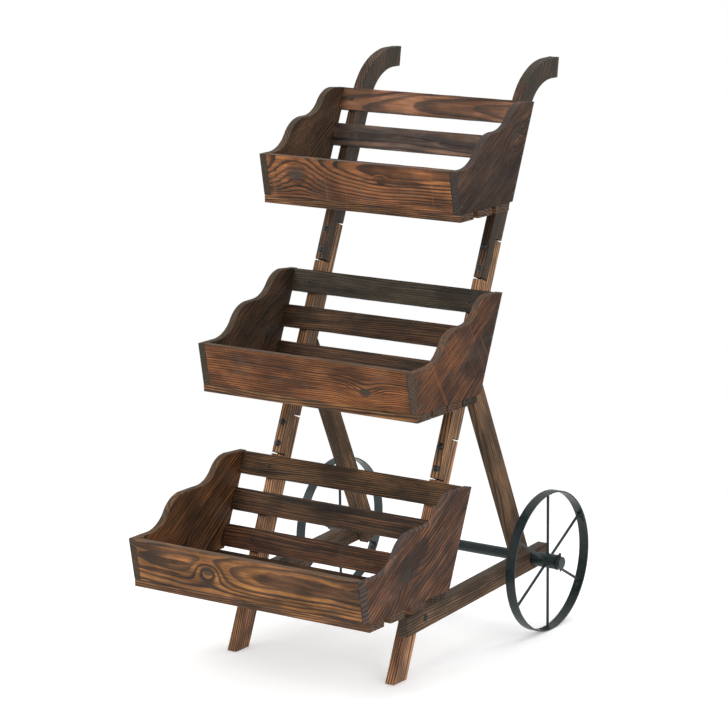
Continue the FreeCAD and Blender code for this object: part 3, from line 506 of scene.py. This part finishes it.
# The front boards and side panels: (node, along, out, palette, settings)
BOX_BOARDS = [
    ("bottom_box_front", RIGHT, FRONT_OUT, GOLD,
     dict(ring=0.0072, pith=(0.016, -0.040), taper=(0.010, 0.030), dark=0.36, grey=0.22,
          knots=((-0.098, 0.004, 0.012, 0.018),),
          stains=((0.140, 0.014, 0.150, 0.016, 0.95), (-0.215, 0.034, 0.080, 0.005, 0.9),
                  (-0.210, 0.012, 0.075, 0.007, 0.95), (-0.225, -0.014, 0.065, 0.005, 0.9),
                  (0.030, -0.036, 0.120, 0.003, 0.8)))),
    ("middle_box_front", RIGHT, FRONT_OUT, RUST,
     dict(ring=0.0038, pith=(0.130, -0.080), taper=(0.02, 0.02), dark=0.26, grey=0.30,
          wave=0.0022, knots=((0.148, -0.012, 0.014, -0.015),),
          stains=((-0.100, 0.026, 0.120, 0.015, 0.35), (0.150, 0.020, 0.090, 0.020, 0.45),
                  (-0.010, -0.008, 0.160, 0.004, 0.55)))),
    ("top_box_front", RIGHT, FRONT_OUT, COPPER,
     dict(ring=0.0044, pith=(0.034, -0.042), taper=(0.020, 0.02), dark=0.22, grey=0.30,
          saw=0.20, wave=0.0026,
          knots=((-0.160, 0.010, 0.021, 0.018), (0.060, 0.016, 0.004, 0.010)),
          stains=((-0.160, 0.010, 0.026, 0.020, 0.55), (0.100, 0.012, 0.085, 0.006, 0.85)))),
    ("bottom_box_side_right", PANEL_ALONG, RIGHT, EMBER,
     dict(ring=0.0076, pith=(0.150, -0.060), taper=(0.02, -0.02), dark=0.50, grey=0.42,
          wave=0.0036, relief=0.0026, knots=((-0.057, -0.004, 0.018, 0.024),),
          stains=((-0.040, 0.006, 0.075, 0.024, 0.80), (0.060, 0.060, 0.110, 0.009, 0.8),
                  (-0.010, -0.060, 0.050, 0.007, 0.7)))),
    ("middle_box_side_right", PANEL_ALONG, RIGHT, SAWN,
     dict(ring=0.0040, pith=(-0.130, -0.090), taper=(0.02, 0.03), dark=0.32, grey=0.22,
          saw=0.30, wave=0.0026, stains=((0.075, -0.062, 0.120, 0.050, 0.80),))),
    ("top_box_side_right", PANEL_ALONG, RIGHT, DUSK,
     dict(ring=0.0044, pith=(0.110, -0.070), taper=(0.02, 0.03), dark=0.44, grey=0.30,
          wave=0.0045, knots=((0.082, -0.004, 0.014, 0.026), (0.040, -0.030, 0.008, 0.014)))),
    ("bottom_box_side_left", PANEL_ALONG, RIGHT, HONEY,
     dict(ring=0.0056, pith=(-0.130, -0.07), dark=0.44, relief=0.0018,
          knots=((-0.055, -0.045, 0.006, 0.008),))),
    ("middle_box_side_left", PANEL_ALONG, RIGHT, DIM,
     dict(ring=0.0048, pith=(0.12, -0.060), dark=0.50,
          knots=((0.030, -0.045, 0.010, 0.016),))),
    ("top_box_side_left", PANEL_ALONG, RIGHT, MOSS,
     dict(ring=0.0040, pith=(-0.12, -0.08), dark=0.26)),
]

# The back slats: (node, palette, settings)
BACK_SLATS = [
    ("top_box_back_top", tinted(ROSE, 1.30, 1.32, 1.26),
     dict(ring=0.0085, pith=(-0.006, -0.036), taper=(0.02, 0.06), dark=0.32, grey=0.15)),
    ("top_box_back_middle", tinted(VIOLET, 1.05, 1.25, 1.50),
     dict(ring=0.0090, pith=(0.030, -0.060), dark=0.50, grey=0.30,
          stains=((-0.06, 0.004, 0.120, 0.010, 0.8), (0.13, -0.004, 0.100, 0.009, 0.85)))),
    ("top_box_back_bottom", DIM, dict(ring=0.0045, pith=(0.10, -0.05), dark=0.50)),
    ("middle_box_back_top", MURK,
     dict(ring=0.0036, pith=(0.12, -0.09), dark=0.30, grey=0.5, wave=0.002)),
    ("middle_box_back_middle", COCOA,
     dict(ring=0.0038, pith=(-0.12, -0.07), dark=0.34, wave=0.002,
          knots=((0.205, 0.0, 0.010, 0.016),))),
    ("middle_box_back_bottom", DIM,
     dict(ring=0.0040, pith=(0.11, -0.05), dark=0.45, wave=0.002)),
    ("bottom_box_back_top", tinted(DIM, 1.40, 1.50, 1.42),
     dict(ring=0.0036, pith=(-0.12, -0.05), dark=0.34, wave=0.002)),
    ("bottom_box_back_middle", DIM,
     dict(ring=0.0050, pith=(0.09, -0.05), dark=0.36, wave=0.003,
          stains=((0.0, 0.014, 0.220, 0.006, 0.95),))),
    ("bottom_box_back_bottom", CHESTNUT,
     dict(ring=0.0046, pith=(0.11, -0.06), dark=0.40, wave=0.003)),
]


def floor_slats():
    rows = []
    draws = random.Random(FLOOR_SEED)
    for tier, count in FLOOR_SLATS:
        for order in range(1, count + 1):
            front = order == 1
            palette = WARM if front else (RED, DIM, WARM)[(order + len(tier)) % 3]
            settings = dict(ring=draws.uniform(0.0042, 0.0065),
                            pith=(draws.uniform(-0.04, 0.04), -0.06),
                            dark=draws.uniform(0.24, 0.40), edge=0.06 if front else 0.25)
            rows.append((f"{tier}_box_floor_{order}", RIGHT, UP, palette, settings))
    return rows


def frame_timber():
    """The frame's pieces: (node, along, out, palette, settings)."""
    rows = []
    for side, sign in (("left", -1.0), ("right", 1.0)):
        rows += [
            (f"rail_foot_{side}", RAIL_ALONG, RAIL_FRONT, FOOT,
             dict(ring=0.0042, pith=(0.080 * sign, -0.050), dark=0.14, grey=0.20, edge=0.16,
                  wave=0.002)),
            (f"rail_middle_{side}", RAIL_ALONG, RAIL_FRONT, RAIL,
             dict(ring=0.0048, pith=(-0.080 * sign, -0.060), dark=0.14, grey=0.20, edge=0.22,
                  wave=0.002)),
            # painted shade: edge=0.80 turns the handle's sawn sides towards the dark SHADED colour
            (f"rail_handle_{side}", RAIL_ALONG, RAIL_FRONT, HANDLE,
             dict(ring=0.0040, pith=(0.070 * sign, -0.055), dark=0.36, grey=0.50, edge=0.80,
                  wave=0.003)),
            (f"rear_leg_{side}", LEG_ALONG, (sign, 0.0, 0.0), tinted(DIM, 2.30, 2.55, 2.60),
             dict(ring=0.0040, pith=(-0.090, -0.045), dark=0.30, grey=0.35, edge=0.45,
                  wave=0.002)),
            (f"lower_beam_{side}", BEAM_ALONG, RIGHT, BEAM,
             dict(ring=0.0042, pith=(0.090, -0.040), dark=0.24, grey=0.35, edge=0.50,
                  wave=0.002)),
        ]
    return rows


def dress_wood():
    back = [(node, RIGHT, RAIL_FRONT, palette, settings) for node, palette, settings in BACK_SLATS]
    rows = [(row, "scorched_board") for row in BOX_BOARDS + back + floor_slats()]
    rows += [(row, "scorched_frame") for row in frame_timber()]
    for seed, (row, slot) in enumerate(rows, start=1):
        node, along, out, palette, settings = row
        material = wood(f"wood_{node}", centre(node), along, out, palette, seed, **settings)
        board = weathered(node, along, out, seed, FLOOR_WEAR if "floor" in node else BOARD_WEAR)
        board.data.materials.clear()
        board.data.materials.append(material)


# ------------------------------------------------------------------ metal

METAL_IOR = 1.5
METAL_SPECULAR = 0.42


def painted_iron(name, seed, base=IRON, worn=IRON_WORN, shine=0.36, bump=0.00030):
    """Satin green-black paint over bar and rod, faintly uneven and worn in spots."""
    g = Graph(name)
    where = g.node("ShaderNodeTexCoord").outputs["Object"]
    moved = g.vector("ADD", where, (seed, seed * 0.3, seed * 0.7))
    mottle = g.noise(moved, 70.0, 4.0, 0.6)
    grit = g.noise(moved, 900.0, 2.0, 0.6)
    colour = g.mix(g.band(mottle, 0.40, 0.75, 0.0, 0.50), base, worn)
    colour = g.mix(g.band(grit, 0.58, 0.74, 0.0, 0.35), colour, worn)
    height = g.math("MULTIPLY_ADD", grit, 0.25, mottle)
    rough = g.band(mottle, 0.25, 0.75, shine - 0.08, shine + 0.14, smooth=False)
    return g.surface(colour, rough, g.bump(height, bump), IOR=METAL_IOR,
                     Specular_IOR_Level=METAL_SPECULAR)


def dress(material, *nodes):
    """Give CAD nodes one material on every face."""
    for node in nodes:
        mesh = NODES[node].data
        mesh.materials.clear()
        mesh.materials.append(material)


def dress_metal():
    rim = painted_iron("paint_bar", 1.0)
    rod = painted_iron("paint_rod", 2.0, shine=0.38)
    tube = painted_iron("paint_tube", 3.0, base=TUBE_IRON, shine=0.40)
    fixings = painted_iron("blackened_steel", 5.0, base=STEEL, worn=STEEL_WORN, bump=0.0002)
    nails = painted_iron("dull_steel", 6.0, base=DULL_STEEL, worn=DULL_WORN, shine=0.5)
    for side in ("left", "right"):
        dress(rim, f"wheel_rim_{side}")
        dress(rod, f"wheel_spokes_{side}")
        dress(tube, f"wheel_hub_{side}")
        dress(fixings, f"wheel_rivets_{side}")
    dress(tube, "axle_tube", "axle_spacers", "axle_caps")
    dress(fixings, "axle_washers", "cotter_pins", "splice_bolts", "splice_washers",
          "splice_nuts", "beam_bolts", "box_screws", "panel_screws", "leg_screws")
    dress(nails, "slat_nails")


# ------------------------------------------------------------------ stage, lights, camera

STAGE_SPAN = 30.0
STAGE_DROP = 0.0005      # keeps the floor clear of the feet's undersides
FLOOR_COLOUR = (0.80, 0.80, 0.80)
BACKDROP_WHITE = 1.0
FLOOR_GLOW = 0.34
FADE_START = 0.55        # metres from the origin where the floor starts to turn white
FADE_END = 1.60
WORLD_LIGHT = 0.66


def stage_material():
    """A pale floor that keeps the stand's shadow and turns into the plain white backdrop."""
    g = Graph("pale_floor")
    rays = g.node("ShaderNodeLightPath")
    matt = g.node("ShaderNodeBsdfDiffuse")
    g.feed(matt.inputs["Color"], FLOOR_COLOUR)
    seen = g.math("MAXIMUM", rays.outputs["Is Camera Ray"], rays.outputs["Is Glossy Ray"])
    seen = g.math("MAXIMUM", seen, rays.outputs["Is Transmission Ray"])
    distance = g.vector("LENGTH", g.node("ShaderNodeTexCoord").outputs["Object"])
    fade = g.math("MULTIPLY", seen, g.band(distance, FADE_START, FADE_END))
    near = g.node("ShaderNodeAddShader")
    g.feed(near.inputs[0], matt.outputs[0])
    g.feed(near.inputs[1], g.blend_shaders(seen, g.glow(0.0), g.glow(FLOOR_GLOW)))
    return g.output(g.blend_shaders(fade, near.outputs[0], g.glow(BACKDROP_WHITE)))


def make_stage():
    mesh = bpy.data.meshes.new("floor")
    half = STAGE_SPAN / 2
    corners = [(-half, -half, 0.0), (half, -half, 0.0), (half, half, 0.0), (-half, half, 0.0)]
    mesh.from_pydata(corners, [], [(0, 1, 2, 3)])
    floor = bpy.data.objects.new("floor", mesh)
    bpy.context.scene.collection.objects.link(floor)
    mesh.materials.append(stage_material())
    floor.location.z = -STAGE_DROP


def make_world():
    """Soft even light all round, and plain white where the camera sees past the floor."""
    world = bpy.data.worlds.new("studio")
    bpy.context.scene.world = world
    world.use_nodes = True
    tree = world.node_tree
    tree.nodes.clear()
    rays = tree.nodes.new("ShaderNodeLightPath")
    pick = tree.nodes.new("ShaderNodeMixShader")
    tree.links.new(rays.outputs["Is Camera Ray"], pick.inputs[0])
    for socket, strength in zip(pick.inputs[1:], (WORLD_LIGHT, BACKDROP_WHITE)):
        light = tree.nodes.new("ShaderNodeBackground")
        light.inputs["Color"].default_value = (*WHITE, 1.0)
        light.inputs["Strength"].default_value = strength
        tree.links.new(light.outputs[0], socket)
    output = tree.nodes.new("ShaderNodeOutputWorld")
    tree.links.new(pick.outputs[0], output.inputs["Surface"])


LIGHT_AIM = (0.0, 0.0, 0.6)
LIGHTS = [               # name, place, size in metres, watts
    ("key", (-1.7, -3.2, 3.2), 2.2, 102.0),
    ("fill", (3.6, -1.6, 1.8), 2.4, 54.0),
    ("top", (0.4, 1.6, 3.6), 2.4, 54.0),
]


def make_lights():
    for name, place, size, power in LIGHTS:
        data = bpy.data.lights.new(name, "AREA")
        data.shape = "SQUARE"
        data.size = size
        data.energy = power
        lamp = bpy.data.objects.new(name, data)
        bpy.context.scene.collection.objects.link(lamp)
        lamp.location = place
        aim = Vector(LIGHT_AIM) - Vector(place)
        lamp.rotation_euler = aim.to_track_quat("-Z", "Y").to_euler()


# The camera, solved from the photograph's own lines; its focal length is in pixels
CAMERA_SPOT = (3.5613, -5.0983, 1.9829)
CAMERA_AZIMUTH = math.radians(34.979)
CAMERA_RISE = math.radians(12.412)
CAMERA_ROLL = math.radians(-0.563)
FOCAL_PIXELS = 3001.67
PICTURE_PIXELS = 728.0
SENSOR = 36.0
CLIP_END = 60.0


def make_camera():
    data = bpy.data.cameras.new("camera")
    data.sensor_fit = "HORIZONTAL"
    data.sensor_width = SENSOR
    data.lens = FOCAL_PIXELS / PICTURE_PIXELS * SENSOR
    data.clip_end = CLIP_END
    camera = bpy.data.objects.new("camera", data)
    bpy.context.scene.collection.objects.link(camera)
    back = Vector((math.sin(CAMERA_AZIMUTH) * math.cos(CAMERA_RISE),
                   -math.cos(CAMERA_AZIMUTH) * math.cos(CAMERA_RISE), math.sin(CAMERA_RISE)))
    right = Vector((math.cos(CAMERA_AZIMUTH), math.sin(CAMERA_AZIMUTH), 0.0))
    up = back.cross(right)
    tilted_right = right * math.cos(CAMERA_ROLL) + up * math.sin(CAMERA_ROLL)
    tilted_up = up * math.cos(CAMERA_ROLL) - right * math.sin(CAMERA_ROLL)
    turn = Matrix((tilted_right, tilted_up, back)).transposed().to_4x4()
    camera.matrix_world = Matrix.Translation(CAMERA_SPOT) @ turn
    bpy.context.scene.camera = camera


make_camera()
dress_wood()
dress_metal()
make_stage()
make_world()
make_lights()
bpy.context.scene.view_settings.view_transform = "Standard"
